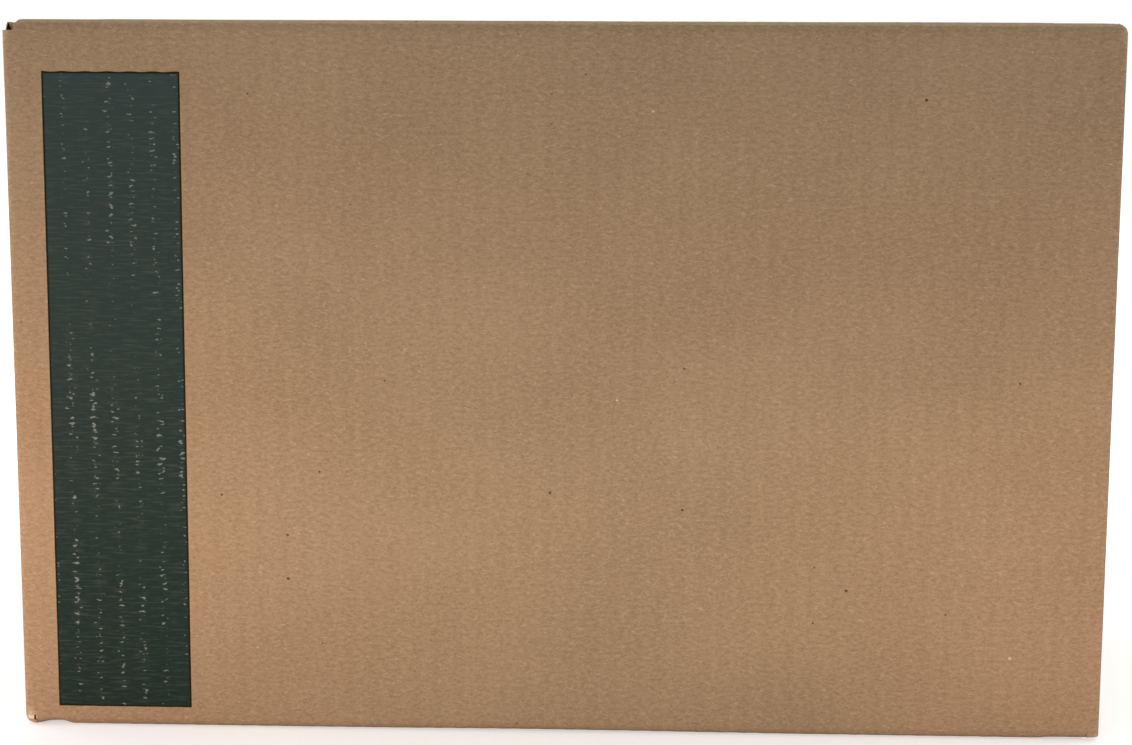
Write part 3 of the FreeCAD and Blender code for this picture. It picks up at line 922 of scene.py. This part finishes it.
# ------------------------------------------------------------------ floor, light and camera
# A white floor, a white sky and a few large soft lamps. A low lamp lights the front's foot, and two
# faint warm ones its ends. The camera looks at the long panel.


def floor_material():
    material = bpy.data.materials.new("floor_white")
    material.use_nodes = True
    tree = material.node_tree
    path = add_node(tree, "ShaderNodeLightPath").outputs
    seen = maths(tree, "MAXIMUM", path["Is Camera Ray"],
                 maths(tree, "MAXIMUM", path["Is Glossy Ray"], path["Is Transmission Ray"]))
    skin = tree.nodes["Principled BSDF"]
    skin.inputs["Base Color"].default_value = (0.8, 0.8, 0.8, 1)
    skin.inputs["Roughness"].default_value = 0.9
    skin.inputs["Emission Color"].default_value = (1, 1, 1, 1)
    place = add_node(tree, "ShaderNodeNewGeometry").outputs["Position"]
    away = add_node(tree, "ShaderNodeVectorMath", {"operation": "LENGTH"}, i0=place).outputs["Value"]
    white = between(tree, away, 0.4, 2.0, 0.47, 0.8)
    tree.links.new(maths(tree, "MULTIPLY", seen, white), skin.inputs["Emission Strength"])
    return material


floor_mesh = bpy.data.meshes.new("floor")
floor_mesh.from_pydata([(-8, -8, 0), (8, -8, 0), (8, 8, 0), (-8, 8, 0)], [], [(0, 1, 2, 3)])
floor_mesh.materials.append(floor_material())
floor = bpy.data.objects.new("floor", floor_mesh)
bpy.context.scene.collection.objects.link(floor)


def make_sky(light):
    """An even white surround. It gives light, and is plain white where it is looked at."""
    world = bpy.data.worlds.new("white_room")
    world.use_nodes = True
    tree = world.node_tree
    path = add_node(tree, "ShaderNodeLightPath").outputs
    seen = maths(tree, "MAXIMUM", path["Is Camera Ray"],
                 maths(tree, "MAXIMUM", path["Is Glossy Ray"], path["Is Transmission Ray"]))
    plain = tree.nodes["Background"]
    plain.inputs["Color"].default_value = (1, 1, 1, 1)
    strength = add_node(tree, "ShaderNodeMix", {"data_type": "FLOAT"}, i0=seen, i2=light, i3=1.0)
    tree.links.new(strength.outputs[0], plain.inputs["Strength"])
    bpy.context.scene.world = world


make_sky(0.40)


def lamp(name, at, aim, size, power, color, spread=180):
    light = bpy.data.lights.new(name, "AREA")
    light.shape = "RECTANGLE"
    light.size, light.size_y = size
    light.energy, light.color = power, color
    light.spread = math.radians(spread)
    made = bpy.data.objects.new(name, light)
    made.location = at
    made.rotation_euler = (Vector(aim) - Vector(at)).to_track_quat("-Z", "Y").to_euler()
    made.visible_camera = False
    bpy.context.scene.collection.objects.link(made)


white = (1.0, 0.99, 0.97)
lamp("soft_front", (-1.0, -2.0, 0.5), (0, -0.1, 0.1), (1.6, 0.8), 8.7, white)
lamp("soft_top", (0.0, 0.9, 1.9), (0, 0.1, 0.2), (1.6, 1.2), 18, white)
lamp("soft_left", (-1.9, 0.4, 0.8), (-0.2, 0.1, 0.1), (1.4, 1.2), 12, white)
lamp("soft_right", (1.9, 0.4, 0.8), (0.2, 0.1, 0.1), (1.4, 1.2), 12, white)
lamp("low_front", (0, -0.33, 0.03), (0, -0.13, 0.10), (0.5, 0.03), 0.115, (1.0, 0.93, 0.84), 110)
warm_left, warm_right = (1.0, 0.56, 0.42), (1.0, 0.53, 0.38)
lamp("warm_left", (-0.37, -0.38, 0.08), (-0.21, -0.13, 0.07), (0.12, 0.08), 0.13, warm_left, 90)
lamp("warm_right", (0.36, -0.38, 0.05), (0.20, -0.13, 0.05), (0.12, 0.06), 0.075, warm_right, 90)

camera_data = bpy.data.cameras.new("camera")
camera_data.sensor_width, camera_data.lens = 36, 70.95
camera = bpy.data.objects.new("camera", camera_data)
camera.matrix_world = (
    Matrix.Translation((0.03198, -0.95687, top + 0.3 * MM))
    @ Matrix.Rotation(math.radians(2.030), 4, "Z")
    @ Matrix.Rotation(math.radians(81.031), 4, "X")
    @ Matrix.Rotation(math.radians(0.230), 4, "Z"))
bpy.context.scene.collection.objects.link(camera)
bpy.context.scene.camera = camera
bpy.context.scene.view_settings.view_transform = "Standard"
